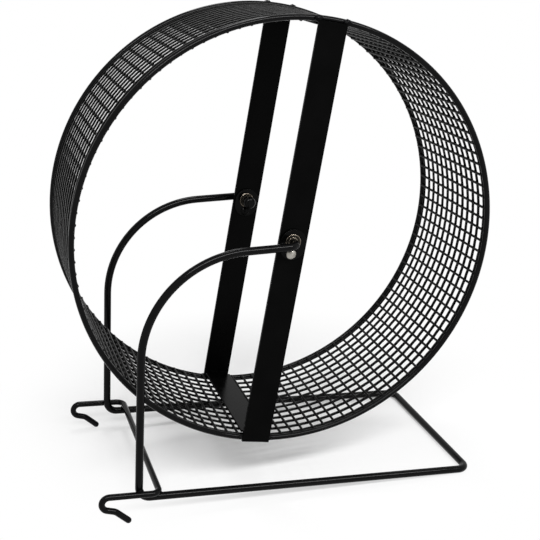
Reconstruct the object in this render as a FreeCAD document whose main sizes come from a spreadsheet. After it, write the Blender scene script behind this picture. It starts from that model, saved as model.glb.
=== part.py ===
import FreeCAD, Part
import math
import os

# Rodent exercise wheel: a wire mesh running wheel between the two arms of one bent rod,
# with a wire that ends in two cage hooks welded across the foot of the stand.
# Millimetres and degrees. X runs along the foot, Y along the axle from front to rear, Z up.
# The origin lies on the floor below the middle of the axle.

# Driving dimensions, in the order of the wheel, the hub and the stand.
SIZES = {
    "rim_outer_diameter": 300.0,
    "rim_wire_diameter": 4.0,
    "rim_spacing": 108.0,
    "cross_wire_diameter": 1.8,
    "cross_wire_count": 112,
    "cross_wire_proud": 0.6,
    "hoop_width": 2.8,
    "hoop_thickness": 1.1,
    "hoop_count": 13,
    "hoop_pitch": 8.25,
    "bar_width": 20.0,
    "bar_thickness": 2.0,
    "bar_top_inset": 3.2,
    "bar_bottom_inset": 0.5,
    "strap_thickness": 1.5,
    "wheel_turn_angle": 9.0,
    "rim_bead_diameter": 4.4,
    "rim_bead_proud": 0.9,
    "weld_gap": 0.05,
    "plate_width": 18.0,
    "plate_drop": 3.5,
    "plate_thickness": 1.5,
    "spigot_diameter": 13.0,
    "lip_bore": 9.5,
    "lip_thickness": 0.7,
    "bearing_diameter": 11.0,
    "bearing_width": 5.0,
    "bearing_recess": 0.2,
    "inner_race_diameter": 6.6,
    "outer_race_bore": 9.4,
    "ball_diameter": 1.6,
    "ball_count": 8,
    "ball_clearance": 0.03,
    "cage_wall": 0.6,
    "cage_width": 2.2,
    "cage_clearance": 0.06,
    "shield_thickness": 0.25,
    "shield_clearance": 0.15,
    "rivet_drop": 8.6,
    "rivet_head_diameter": 7.2,
    "rivet_head_height": 1.5,
    "rivet_shank_diameter": 2.6,
    "rivet_tail_diameter": 4.0,
    "rivet_tail_height": 1.0,
    "spacer_length": 2.0,
    "spacer_diameter": 6.4,
    "retainer_diameter": 9.0,
    "retainer_thickness": 1.0,
    "cap_gap": 0.5,
    "cap_diameter": 9.4,
    "cap_length": 7.0,
    "cap_end_wall": 1.2,
    "cap_edge_radius": 1.6,
    "fit_gap": 0.02,
    "rod_diameter": 5.5,
    "journal_diameter": 5.0,
    "axle_bend_radius": 6.5,
    "arm_clearance": 5.9,
    "arm_slope_angle": 4.5,
    "arm_bend_radius": 73.5,
    "upright_reach": 104.6,
    "upright_slant_angle": 1.2,
    "foot_drop": 178.4,
    "foot_reach": 151.0,
    "foot_bend_radius": 8.0,
    "hook_wire_diameter": 4.5,
    "hook_run_inset": 13.6,
    "hook_corner_radius": 6.0,
    "hook_overhang": 21.3,
    "hook_bend_radius": 5.0,
    "hook_turn_angle": 166.0,
    "hook_return": 6.0,
    "hook_knee_radius": 7.0,
    "hook_knee_angle": 25.0,
    "hook_tail": 11.5,
    "hook_bead_diameter": 3.2,
}

doc = FreeCAD.newDocument("exercise_wheel")
sheet = doc.addObject("Spreadsheet::Sheet", "Sizes")
for row, (alias, value) in enumerate(SIZES.items(), start=1):
    sheet.set(f"A{row}", alias)
    sheet.set(f"B{row}", str(value))
    sheet.setAlias(f"B{row}", alias)
doc.recompute()

X_AXIS = FreeCAD.Vector(1, 0, 0)
Y_AXIS = FreeCAD.Vector(0, 1, 0)
Z_AXIS = FreeCAD.Vector(0, 0, 1)
NO_TURN = FreeCAD.Rotation()

nodes = []


def size(alias):
    """Return one driving dimension as a number."""
    return float(sheet.get(alias))


def count(alias):
    """Return one driving count as a whole number."""
    return int(round(size(alias)))


def bound(kind, name, **expressions):
    """Add a document object whose properties follow the sheet."""
    item = doc.addObject(kind, name)
    for prop, expression in expressions.items():
        item.setExpression(prop, expression)
    return item


def moved(item, place):
    """Give an object its place and return it."""
    item.Placement = place
    return item


def node(item, label, place):
    """Finish a sub-part: its label names its file, and its place is in the part's own frame."""
    item.Label = label
    item.Placement = place
    nodes.append(item)
    return item


def shift(x=0.0, y=0.0, z=0.0):
    """Return a place that only moves."""
    return FreeCAD.Placement(FreeCAD.Vector(x, y, z), NO_TURN)


def cylinder(name, radius, height, place=None):
    """Add a cylinder along its own Z, with radius and height as expressions."""
    return moved(bound("Part::Cylinder", name, Radius=radius, Height=height), place or shift())


def fused(name, shapes):
    """Add the union of several objects as one clean solid."""
    item = doc.addObject("Part::MultiFuse", name)
    item.Shapes = shapes
    item.Refine = True
    return item


def cut(name, base, tool):
    """Add base minus tool."""
    item = doc.addObject("Part::Cut", name)
    item.Base = base
    item.Tool = tool
    return item


def ring(name, outer, bore, height):
    """Add a flat ring along its own Z; outer and bore are radius expressions."""
    return cut(name, cylinder(name + "_disc", outer, height), cylinder(name + "_bore", bore, height))


def sphere_group(name, diameter, centres):
    """Add separate balls of one diameter as one object."""
    item = doc.addObject("Part::Feature", name)
    item.Shape = Part.makeCompound([Part.makeSphere(diameter / 2, centre) for centre in centres])
    return item


def bent_path(name, corners):
    """Add a wire of straight runs joined by tangent arcs; corners are (point, bend radius) pairs."""
    points = [point for point, _ in corners]
    edges = []
    start = points[0]
    for before, (corner, radius), after in zip(points, corners[1:], points[2:]):
        inward = (before - corner).normalize()
        outward = (after - corner).normalize()
        half_angle = inward.getAngle(outward) / 2
        setback = radius / math.tan(half_angle)
        first = corner + inward * setback
        last = corner + outward * setback
        middle_way = (inward + outward).normalize()
        middle = corner + middle_way * (radius / math.sin(half_angle) - radius)
        edges.append(Part.makeLine(start, first))
        edges.append(Part.Arc(first, middle, last).toShape())
        start = last
    edges.append(Part.makeLine(start, points[-1]))
    item = doc.addObject("Part::Feature", name)
    item.Shape = Part.Wire(edges)
    return item


def swept(name, section, path):
    """Sweep a section along a whole path as one solid."""
    sweep = doc.addObject("Part::Sweep", name)
    sweep.Sections = [section]
    sweep.Spine = (path, [f"Edge{index}" for index in range(1, len(path.Shape.Edges) + 1)])
    sweep.Solid = True
    return sweep


def bent_wire(name, corners, wire_radius):
    """Sweep a round section along a bent path; wire_radius is an expression."""
    section = bound("Part::Circle", name + "_section", Radius=wire_radius)
    start = corners[0][0]
    heading = (corners[1][0] - start).normalize()
    section.Placement = FreeCAD.Placement(start, FreeCAD.Rotation(Z_AXIS, heading))
    return swept(name, section, bent_path(name + "_path", corners))


# Places along the axle. Both spoke bars lie on the outer sides of the rims, and both bearings
# sit in plates on the front sides of their bars.
rim_offset = size("rim_spacing") / 2
bar_inner_offset = rim_offset + size("rim_wire_diameter") / 2 + size("weld_gap")
bar_outer_offset = bar_inner_offset + size("bar_thickness")
bar_front = {"front": -bar_outer_offset, "rear": bar_inner_offset}
bearing_from_bar = size("bearing_recess") - size("plate_thickness")
bearing_front = {side: place + bearing_from_bar for side, place in bar_front.items()}
bearing_middle = {side: place + size("bearing_width") / 2 for side, place in bearing_front.items()}

# The rod's ends point to the middle of the wheel, so what holds a bearing sits on its inner side.
inward = {"front": 1, "rear": -1}
bearing_inner_face = {
    side: bearing_middle[side] + inward[side] * size("bearing_width") / 2 for side in inward
}
retainer_start = {
    side: bearing_inner_face[side] + inward[side] * size("spacer_length") for side in inward
}
cap_start = {
    side: retainer_start[side] + inward[side] * (size("retainer_thickness") + size("cap_gap"))
    for side in inward
}
rod_end = {
    side: cap_start[side] + inward[side] * (size("cap_length") - size("cap_end_wall"))
    for side in inward
}

# The arms pass the rivet heads, which stand furthest out of the wheel's sides.
rod_radius = size("rod_diameter") / 2
hub_side = bar_outer_offset + size("plate_thickness") + size("rivet_head_height")
arm_side = hub_side + size("arm_clearance") + rod_radius

# The stand's own frame has its origin on the axle. The hook wire lies on the foot rods and
# passes outside the uprights, which slant in a little to their heels.
upright_x = -size("upright_reach")
shoulder_height = upright_x * math.tan(math.radians(size("arm_slope_angle")))
foot_height = -size("foot_drop")
heel_x = upright_x + (shoulder_height - foot_height) * math.tan(math.radians(size("upright_slant_angle")))
hook_radius = size("hook_wire_diameter") / 2
hook_height = foot_height + rod_radius + hook_radius + size("weld_gap")
hook_side = arm_side + rod_radius + hook_radius + size("weld_gap")
hook_run_x = heel_x + size("hook_run_inset")
hook_turn = math.radians(size("hook_turn_angle"))
hook_setback = size("hook_bend_radius") * math.tan(hook_turn / 2)
hook_corner_x = heel_x - size("hook_overhang") - hook_setback
return_slope = math.pi - hook_turn
return_run = hook_setback + size("hook_return")
knee_x = hook_corner_x + math.cos(return_slope) * return_run
knee_height = hook_height - math.sin(return_slope) * return_run
tail_slope = return_slope + math.radians(size("hook_knee_angle"))
tip_x = knee_x + math.cos(tail_slope) * size("hook_tail")
tip_height = knee_height - math.sin(tail_slope) * size("hook_tail")

# The foot rod and the tips of the hooks both touch the floor, which sets how far the stand leans
# and how high the axle is.
tip_to_foot = size("foot_reach") - tip_x
tip_below_foot = foot_height - tip_height
lean = math.atan2(tip_below_foot, tip_to_foot)
lean -= math.asin((rod_radius - hook_radius) / math.hypot(tip_to_foot, tip_below_foot))
axle_height = size("foot_reach") * math.sin(lean) - foot_height * math.cos(lean) + rod_radius

axle_point = FreeCAD.Vector(0, 0, axle_height)
stand_frame = FreeCAD.Placement(axle_point, FreeCAD.Rotation(Y_AXIS, math.degrees(lean)))

# The wheel's frame has Z along the axle to the rear, and Y down the spoke bars.
axle_frame = FreeCAD.Placement(axle_point, FreeCAD.Rotation(X_AXIS, -90))
turned = FreeCAD.Rotation(Y_AXIS, size("wheel_turn_angle"))
wheel_frame = FreeCAD.Placement(axle_point, turned.multiply(FreeCAD.Rotation(X_AXIS, -90)))

# Radii of the tread. The cross wires stand a little proud of the rims on the inside, and the flat
# hoops lie round them. The ends of the cross wires meet the sides of the rims.
RIM_RADIUS = "Sizes.rim_outer_diameter / 2 - Sizes.rim_wire_diameter / 2"
WIRE_INSIDE = "Sizes.rim_outer_diameter / 2 - Sizes.rim_wire_diameter - Sizes.cross_wire_proud"
HOOP_BORE = "(" + WIRE_INSIDE + " + Sizes.cross_wire_diameter + Sizes.weld_gap)"
wire_inside = size("rim_outer_diameter") / 2 - size("rim_wire_diameter") - size("cross_wire_proud")
cross_wire_radius = size("cross_wire_diameter") / 2
rim_radius = size("rim_outer_diameter") / 2 - size("rim_wire_diameter") / 2
wire_below_rim = rim_radius - wire_inside - size("cross_wire_diameter")
rim_reach = size("rim_wire_diameter") / 2 + size("weld_gap")
wire_end = rim_offset - math.sqrt(rim_reach ** 2 - wire_below_rim ** 2)
bar_top = size("rim_outer_diameter") / 2 - size("bar_top_inset")
BALL_CIRCLE = "(Sizes.inner_race_diameter + Sizes.outer_race_bore) / 4"
ball_circle = (size("inner_race_diameter") + size("outer_race_bore")) / 4


def place_on(frame, offset):
    """Return a frame moved by an offset given in that frame."""
    return frame.multiply(offset)


def facing(side):
    """Return the turn that points a hub piece's Z to the middle of the wheel."""
    return FreeCAD.Rotation(X_AXIS, 0 if side == "front" else 180)


def build_rim(side, offset):
    """Round-wire rim at one side of the tread."""
    rim = bound("Part::Torus", side + "_rim_ring", Radius1=RIM_RADIUS,
                Radius2="Sizes.rim_wire_diameter / 2")
    node(rim, side + "_rim", place_on(wheel_frame, shift(z=offset)))


def build_hoops():
    """Flat hoops of the mesh, evenly spaced about the middle of the tread."""
    first = -(count("hoop_count") - 1) / 2 * size("hoop_pitch") - size("hoop_width") / 2
    for index in range(count("hoop_count")):
        hoop = ring(f"hoop_ring_{index + 1:02d}", HOOP_BORE + " + Sizes.hoop_thickness", HOOP_BORE,
                    "Sizes.hoop_width")
        offset = first + index * size("hoop_pitch")
        node(hoop, f"hoop_{index + 1:02d}", place_on(wheel_frame, shift(z=offset)))


def build_cross_wires():
    """Straight wires from rim to rim, one beside the other all the way round."""
    wire_circle = wire_inside + cross_wire_radius
    length = 2 * wire_end
    step = 2 * math.pi / count("cross_wire_count")
    wires = []
    for index in range(count("cross_wire_count")):
        angle = (index + 0.5) * step
        foot = FreeCAD.Vector(wire_circle * math.sin(angle), wire_circle * math.cos(angle), -length / 2)
        wires.append(Part.makeCylinder(cross_wire_radius, length, foot, Z_AXIS))
    group = doc.addObject("Part::Feature", "cross_wire_group")
    group.Shape = Part.makeCompound(wires)
    node(group, "cross_wires", wheel_frame)


def build_spoke_bar(side):
    """Flat bar across one side of the wheel, with holes for the bearing seat and the rivet."""
    bar = bound("Part::Box", side + "_bar_blank", Length="Sizes.bar_width",
                Width="Sizes.rim_outer_diameter - Sizes.bar_top_inset - Sizes.bar_bottom_inset",
                Height="Sizes.bar_thickness")
    moved(bar, shift(x=-size("bar_width") / 2, y=-bar_top))
    seat = cylinder(side + "_bar_seat", "Sizes.spigot_diameter / 2 + Sizes.fit_gap", "Sizes.bar_thickness")
    rivet = cylinder(side + "_bar_rivet_hole", "Sizes.rivet_shank_diameter / 2 + Sizes.fit_gap",
                     "Sizes.bar_thickness", shift(y=size("rivet_drop")))
    holes = fused(side + "_bar_holes", [seat, rivet])
    node(cut(side + "_bar", bar, holes), side + "_spoke_bar",
         place_on(wheel_frame, shift(z=bar_front[side])))


def build_strap(label, direction):
    """Flat strap across the inside of the mesh, from one rim to the other."""
    half_width = size("bar_width") / 2
    length = size("rim_spacing") - size("rim_wire_diameter") - 2 * size("weld_gap")
    outer_face = math.sqrt((wire_inside - size("weld_gap")) ** 2 - half_width ** 2)
    strap = bound("Part::Box", label + "_strip", Length="Sizes.bar_width", Width="Sizes.strap_thickness",
                  Height="Sizes.rim_spacing - Sizes.rim_wire_diameter - 2 * Sizes.weld_gap")
    low_face = outer_face - size("strap_thickness") if direction > 0 else -outer_face
    blank = moved(strap, shift(-half_width, low_face, -length / 2))
    group = doc.addObject("Part::Compound", label + "_laid")
    group.Links = [blank]
    node(group, label, wheel_frame)


def build_rim_welds(side, offset):
    """Weld beads at the corners of a bar: proud of the rim at the top, inside it at the bottom."""
    half_width = size("bar_width") / 2
    outer_radius = size("rim_outer_diameter") / 2
    top = outer_radius + size("rim_bead_proud") - size("rim_bead_diameter") / 2
    bottom = outer_radius - size("rim_wire_diameter")
    outward = -1 if side == "front" else 1
    bead_offset = offset + outward * size("rim_wire_diameter") / 2
    ends = []
    for radius, way in ((top, -1), (bottom, 1)):
        reach = way * math.sqrt(radius ** 2 - half_width ** 2)
        ends += [FreeCAD.Vector(edge * half_width, reach, bead_offset) for edge in (-1, 1)]
    beads = sphere_group(side + "_rim_beads", size("rim_bead_diameter"), ends)
    node(beads, side + "_rim_welds", wheel_frame)


def build_bearing_plate(side):
    """Plate on the front of a bar, with a spigot through it that holds the bearing."""
    half = "Sizes.plate_width / 2"
    drop = size("plate_drop")
    top = cylinder(side + "_plate_top", half, "Sizes.plate_thickness")
    foot = cylinder(side + "_plate_foot", half, "Sizes.plate_thickness", shift(y=drop))
    waist = bound("Part::Box", side + "_plate_waist", Length="Sizes.plate_width", Width="Sizes.plate_drop",
                  Height="Sizes.plate_thickness")
    moved(waist, shift(x=-size("plate_width") / 2))
    spigot_length = "Sizes.bearing_recess + Sizes.bearing_width + Sizes.lip_thickness"
    spigot = cylinder(side + "_spigot", "Sizes.spigot_diameter / 2", spigot_length)
    body = fused(side + "_plate_body", [top, foot, waist, spigot])
    seat = cylinder(side + "_bearing_seat", "Sizes.bearing_diameter / 2 + Sizes.fit_gap",
                    "Sizes.bearing_recess + Sizes.bearing_width")
    lip = cylinder(side + "_lip_bore", "Sizes.lip_bore / 2", spigot_length)
    rivet = cylinder(side + "_plate_rivet_hole", "Sizes.rivet_shank_diameter / 2 + Sizes.fit_gap",
                     "Sizes.plate_thickness", shift(y=size("rivet_drop")))
    plate = cut(side + "_plate", body, fused(side + "_plate_holes", [seat, lip, rivet]))
    node(plate, side + "_bearing_plate",
         place_on(wheel_frame, shift(z=bar_front[side] - size("plate_thickness"))))


def build_keeper_rivet(side):
    """Domed rivet below the bearing; its head laps over the outer race and keeps it seated."""
    head_radius = "(Sizes.rivet_head_diameter / 2)"
    height = "Sizes.rivet_head_height"
    dome_radius = f"(({head_radius} ^ 2 + {height} ^ 2) / (2 * {height}))"
    dome = bound("Part::Sphere", side + "_rivet_dome", Radius=dome_radius,
                 Angle1=f"asin(({dome_radius} - {height}) / {dome_radius})")
    head_half = size("rivet_head_diameter") / 2
    sphere_centre = (head_half ** 2 - size("rivet_head_height") ** 2) / (2 * size("rivet_head_height"))
    moved(dome, shift(z=-sphere_centre))
    grip = "Sizes.plate_thickness + Sizes.bar_thickness + Sizes.rivet_tail_height"
    grip_length = size("plate_thickness") + size("bar_thickness")
    shank = cylinder(side + "_rivet_shank", "Sizes.rivet_shank_diameter / 2", grip,
                     shift(z=-grip_length - size("rivet_tail_height")))
    tail = cylinder(side + "_rivet_tail", "Sizes.rivet_tail_diameter / 2", "Sizes.rivet_tail_height",
                    shift(z=-grip_length - size("rivet_tail_height")))
    rivet = fused(side + "_rivet", [dome, shank, tail])
    seat = shift(y=size("rivet_drop"), z=bar_front[side] - size("plate_thickness"))
    head_forward = FreeCAD.Placement(FreeCAD.Vector(), FreeCAD.Rotation(X_AXIS, 180))
    node(rivet, side + "_keeper_rivet", place_on(wheel_frame, seat.multiply(head_forward)))


def build_races(side):
    """Inner and outer race of one bearing, each with its ball groove."""
    groove_radius = "Sizes.ball_diameter / 2 + Sizes.ball_clearance"
    journal_bore = "Sizes.journal_diameter / 2 + Sizes.fit_gap"
    races = {
        "inner_race": ("Sizes.inner_race_diameter / 2", journal_bore, axle_frame),
        "outer_race": ("Sizes.bearing_diameter / 2", "Sizes.outer_race_bore / 2", wheel_frame),
    }
    for race, (outer, bore, frame) in races.items():
        name = f"{side}_{race}"
        blank = ring(name + "_blank", outer, bore, "Sizes.bearing_width")
        groove = bound("Part::Torus", name + "_groove", Radius1=BALL_CIRCLE, Radius2=groove_radius)
        moved(groove, shift(z=size("bearing_width") / 2))
        node(cut(name + "_ring", blank, groove), f"{side}_bearing_{race}",
             place_on(frame, shift(z=bearing_front[side])))


def build_rolling_set(side):
    """Balls of one bearing and the cage that keeps them apart."""
    step = 2 * math.pi / count("ball_count")
    centres = []
    for index in range(count("ball_count")):
        angle = index * step
        centres.append(FreeCAD.Vector(ball_circle * math.cos(angle), ball_circle * math.sin(angle), 0))
    middle = place_on(axle_frame, shift(z=bearing_middle[side]))
    node(sphere_group(side + "_ball_group", size("ball_diameter"), centres), side + "_bearing_balls", middle)
    band = ring(side + "_cage_band", BALL_CIRCLE + " + Sizes.cage_wall / 2",
                BALL_CIRCLE + " - Sizes.cage_wall / 2", "Sizes.cage_width")
    moved(band, shift(z=-size("cage_width") / 2))
    pocket_radius = size("ball_diameter") / 2 + size("cage_clearance")
    pocket_start = (ball_circle - size("cage_wall")) / ball_circle
    pockets = doc.addObject("Part::Feature", side + "_cage_pockets")
    pockets.Shape = Part.makeCompound([
        Part.makeCylinder(pocket_radius, 2 * size("cage_wall"), centre * pocket_start, centre)
        for centre in centres
    ])
    node(cut(side + "_cage", band, pockets), side + "_bearing_cage", middle)


def build_shields(side):
    """Thin covers on both faces of one bearing, held in the outer race."""
    covers = []
    for face, offset in (("front", 0.0), ("rear", size("bearing_width") - size("shield_thickness"))):
        cover = ring(f"{side}_shield_{face}", "Sizes.outer_race_bore / 2 - Sizes.fit_gap",
                     "Sizes.inner_race_diameter / 2 + Sizes.shield_clearance", "Sizes.shield_thickness")
        covers.append(moved(cover, shift(z=offset)))
    pair = doc.addObject("Part::Compound", side + "_shield_pair")
    pair.Links = covers
    node(pair, side + "_bearing_shields", place_on(wheel_frame, shift(z=bearing_front[side])))


def on_axle(side, offset):
    """Return a place on the axle whose Z points to the middle of the wheel."""
    return place_on(axle_frame, FreeCAD.Placement(FreeCAD.Vector(0, 0, offset), facing(side)))


def build_axle_fittings(side):
    """Spacer sleeve, push-on retainer and end cap on one end of the rod."""
    bore = "Sizes.journal_diameter / 2 + Sizes.fit_gap"
    spacer = ring(side + "_spacer_sleeve", "Sizes.spacer_diameter / 2", bore, "Sizes.spacer_length")
    node(spacer, side + "_spacer", on_axle(side, bearing_inner_face[side]))
    retainer = ring(side + "_retainer_disc", "Sizes.retainer_diameter / 2", bore, "Sizes.retainer_thickness")
    node(retainer, side + "_retainer", on_axle(side, retainer_start[side]))
    body = cylinder(side + "_cap_body", "Sizes.cap_diameter / 2", "Sizes.cap_length")
    doc.recompute()
    rim_edges = [index for index, edge in enumerate(body.Shape.Edges, start=1)
                 if edge.Closed and abs(edge.BoundBox.ZMin - size("cap_length")) < size("fit_gap")]
    rounded = doc.addObject("Part::Fillet", side + "_cap_rounded")
    rounded.Base = body
    rounded.Edges = [(index, size("cap_edge_radius"), size("cap_edge_radius")) for index in rim_edges]
    socket = cylinder(side + "_cap_socket", bore, "Sizes.cap_length - Sizes.cap_end_wall")
    node(cut(side + "_cap", rounded, socket), side + "_axle_cap", on_axle(side, cap_start[side]))


def build_stand_rod():
    """One rod from axle end to axle end: arm, upright and foot, and the same again behind.

    Its two ends are turned down to journals, and the outer faces of the inner races rest on the
    shoulders.
    """
    foot = size("foot_reach")
    axle_bend = size("axle_bend_radius")
    arm_bend = size("arm_bend_radius")
    foot_bend = size("foot_bend_radius")
    corners = [
        (FreeCAD.Vector(0, rod_end["front"], 0), None),
        (FreeCAD.Vector(0, -arm_side, 0), axle_bend),
        (FreeCAD.Vector(upright_x, -arm_side, shoulder_height), arm_bend),
        (FreeCAD.Vector(heel_x, -arm_side, foot_height), foot_bend),
        (FreeCAD.Vector(foot, -arm_side, foot_height), foot_bend),
        (FreeCAD.Vector(foot, arm_side, foot_height), foot_bend),
        (FreeCAD.Vector(heel_x, arm_side, foot_height), foot_bend),
        (FreeCAD.Vector(upright_x, arm_side, shoulder_height), arm_bend),
        (FreeCAD.Vector(0, arm_side, 0), axle_bend),
        (FreeCAD.Vector(0, rod_end["rear"], 0), None),
    ]
    rod = bent_wire("stand_rod_sweep", corners, "Sizes.rod_diameter / 2")
    journal_length = ("Sizes.bearing_width + Sizes.spacer_length + Sizes.retainer_thickness"
                      " + Sizes.cap_gap + Sizes.cap_length")
    skims = []
    for side, way in inward.items():
        skim = ring(side + "_journal_skim", "Sizes.rod_diameter", "Sizes.journal_diameter / 2",
                    journal_length)
        shoulder = bearing_middle[side] - way * (size("bearing_width") / 2 + size("fit_gap"))
        along = FreeCAD.Rotation(X_AXIS, -90 * way)
        skims.append(moved(skim, FreeCAD.Placement(FreeCAD.Vector(0, shoulder, 0), along)))
    node(cut("stand_rod_turned", rod, fused("journal_skims", skims)), "stand_rod", stand_frame)


def build_hook_wire():
    """Thinner wire across the foot, with a leg past each upright that ends in a cage hook."""
    corner = size("hook_corner_radius")
    bend = size("hook_bend_radius")
    knee = size("hook_knee_radius")
    corners = [
        (FreeCAD.Vector(tip_x, -hook_side, tip_height), None),
        (FreeCAD.Vector(knee_x, -hook_side, knee_height), knee),
        (FreeCAD.Vector(hook_corner_x, -hook_side, hook_height), bend),
        (FreeCAD.Vector(hook_run_x, -hook_side, hook_height), corner),
        (FreeCAD.Vector(hook_run_x, hook_side, hook_height), corner),
        (FreeCAD.Vector(hook_corner_x, hook_side, hook_height), bend),
        (FreeCAD.Vector(knee_x, hook_side, knee_height), knee),
        (FreeCAD.Vector(tip_x, hook_side, tip_height), None),
    ]
    wire = bent_wire("hook_sweep", corners, "Sizes.hook_wire_diameter / 2")
    tips = []
    for side, (point, _) in (("front", corners[0]), ("rear", corners[-1])):
        tip = bound("Part::Sphere", side + "_hook_tip", Radius="Sizes.hook_wire_diameter / 2")
        tips.append(moved(tip, shift(point.x, point.y, point.z)))
    node(fused("hook_body", [wire] + tips), "hook_wire", stand_frame)


def build_hook_welds():
    """Weld beads where the hook wire crosses the foot rods and the uprights."""
    heel_turn = math.pi / 2 - math.radians(size("upright_slant_angle"))
    bend_centre_x = heel_x + size("foot_bend_radius") * math.tan(heel_turn / 2)
    bend_centre_height = foot_height + size("foot_bend_radius")
    drop_in_bend = bend_centre_height - hook_height
    rod_x = bend_centre_x - math.sqrt(size("foot_bend_radius") ** 2 - drop_in_bend ** 2)
    beads = []
    for way in (-1, 1):
        beads.append(FreeCAD.Vector(hook_run_x, way * arm_side, foot_height + rod_radius))
        beads.append(FreeCAD.Vector(rod_x, way * (arm_side + rod_radius), hook_height))
    node(sphere_group("hook_beads", size("hook_bead_diameter"), beads), "hook_welds", stand_frame)


def build_all():
    """Build every sub-part in the order of the wheel, its hubs and the stand."""
    for side, offset in (("front", -rim_offset), ("rear", rim_offset)):
        build_rim(side, offset)
        build_rim_welds(side, offset)
        build_spoke_bar(side)
        build_bearing_plate(side)
        build_keeper_rivet(side)
        build_races(side)
        build_rolling_set(side)
        build_shields(side)
        build_axle_fittings(side)
    build_hoops()
    build_cross_wires()
    build_strap("bottom_strap", 1)
    build_strap("top_strap", -1)
    build_stand_rod()
    build_hook_wire()
    build_hook_welds()
    doc.recompute()


def check_and_write():
    """Stop on any failed object or shape, then write one file for each sub-part."""
    for item in doc.Objects:
        if "Invalid" in item.State or "Error" in item.State:
            raise RuntimeError(f"{item.Label} failed: {item.State}")
    for item in nodes:
        if item.Shape.isNull() or not item.Shape.isValid() or not item.Shape.Solids:
            raise RuntimeError(f"{item.Label} has no valid solid")
    os.makedirs("parts", exist_ok=True)
    for item in nodes:
        item.Shape.exportStep(f"parts/{item.Label}.step")
        print(f"{item.Label}: {len(item.Shape.Solids)} solids, {item.Shape.Volume:.1f} cubic mm")
    print(f"lean {math.degrees(lean):.3f} degrees, axle {axle_height:.3f} mm above the floor")


build_all()
check_and_write()
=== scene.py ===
"""Looks of a rodent exercise wheel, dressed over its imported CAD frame.

Metres, in the frame of the CAD part: X along the foot, Y along the axle to the rear, Z up. Sizes
in the classes are millimetres, as a maker would write them, and MM turns them to metres.
"""

import logging
import math
from dataclasses import dataclass
from enum import Enum
from typing import Any

import bmesh
import bpy
from mathutils import Matrix, Vector, noise

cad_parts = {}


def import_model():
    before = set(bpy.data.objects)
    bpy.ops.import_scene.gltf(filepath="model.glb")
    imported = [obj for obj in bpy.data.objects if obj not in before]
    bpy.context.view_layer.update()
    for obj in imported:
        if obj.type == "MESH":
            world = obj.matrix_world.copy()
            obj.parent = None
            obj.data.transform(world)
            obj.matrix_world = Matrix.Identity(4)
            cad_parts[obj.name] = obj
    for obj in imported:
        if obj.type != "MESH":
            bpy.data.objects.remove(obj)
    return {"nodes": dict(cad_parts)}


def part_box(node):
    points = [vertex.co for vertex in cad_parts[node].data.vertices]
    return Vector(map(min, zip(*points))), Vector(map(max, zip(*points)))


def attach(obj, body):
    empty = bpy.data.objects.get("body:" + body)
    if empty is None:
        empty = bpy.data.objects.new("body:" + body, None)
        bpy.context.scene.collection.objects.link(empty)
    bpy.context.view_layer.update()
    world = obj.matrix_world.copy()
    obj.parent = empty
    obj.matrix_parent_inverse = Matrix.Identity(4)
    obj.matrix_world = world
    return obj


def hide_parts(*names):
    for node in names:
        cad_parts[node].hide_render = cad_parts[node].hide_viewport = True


Socket = bpy.types.NodeSocket

MM = 0.001
LOG = logging.getLogger("exercise_wheel")

# The CAD nodes by name, filled when the frame is loaded.
FRAME_NODES: dict[str, bpy.types.Object] = {}

# Points closer than this are one point, in metres.
SAME_POINT = 1e-6
# Faces that turn less than this are one flat face.
FLAT_TURN = math.radians(0.5)
# Edges that turn more than this stay sharp, on bent wire and on cut or turned pieces.
WIRE_CREASE = math.radians(50)
CUT_CREASE = math.radians(40)
# Steps in the round of a broken edge.
EDGE_STEPS = 3
# How far the flat faces lead in the shading of a piece with broken edges, out of 100.
FLAT_LEAD = 60
# Parts of the cloudy noise, from 0 to 1, over which a finish changes its tone and its roughness.
TONE_SPAN = (0.32, 0.68)
ROUGH_SPAN = (0.3, 0.7)
# Wall of an axle cap over the end of the rod, in millimetres.
CAP_WALL = 1.2


class Side(Enum):
    """The two open sides of the wheel."""

    FRONT = "front"
    REAR = "rear"

    @property
    def inward(self) -> float:
        """The way along Y from this side to the middle of the wheel."""
        return 1.0 if self is Side.FRONT else -1.0


class Body(Enum):
    """The bodies of the part that pieces ride on."""

    STAND = "stand"
    WHEEL = "wheel"


def linear(hex_colour: str) -> tuple[float, float, float, float]:
    """Turn an sRGB hex colour to a linear one.

    Args:
        hex_colour: six hex digits after a hash sign.

    Returns:
        Red, green, blue and an alpha of one.
    """
    channels = [int(hex_colour[place:place + 2], 16) / 255 for place in (1, 3, 5)]
    red, green, blue = [c / 12.92 if c <= 0.04045 else ((c + 0.055) / 1.055) ** 2.4 for c in channels]
    return red, green, blue, 1.0


def add_node(tree: bpy.types.NodeTree, kind: str, inputs: dict[Any, Any] | None = None,
             **settings: Any) -> bpy.types.Node:
    """Add a node with its settings, and fill or link its inputs.

    Args:
        tree: the tree that the node goes into.
        kind: Blender's name of the node type.
        inputs: input name or place to a value or to the socket that feeds it.
        settings: properties of the node itself.

    Returns:
        The new node.
    """
    node = tree.nodes.new(kind)
    for key, value in settings.items():
        setattr(node, key, value)
    for key, value in (inputs or {}).items():
        if isinstance(value, Socket):
            tree.links.new(value, node.inputs[key])
        else:
            node.inputs[key].default_value = value
    return node


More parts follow.
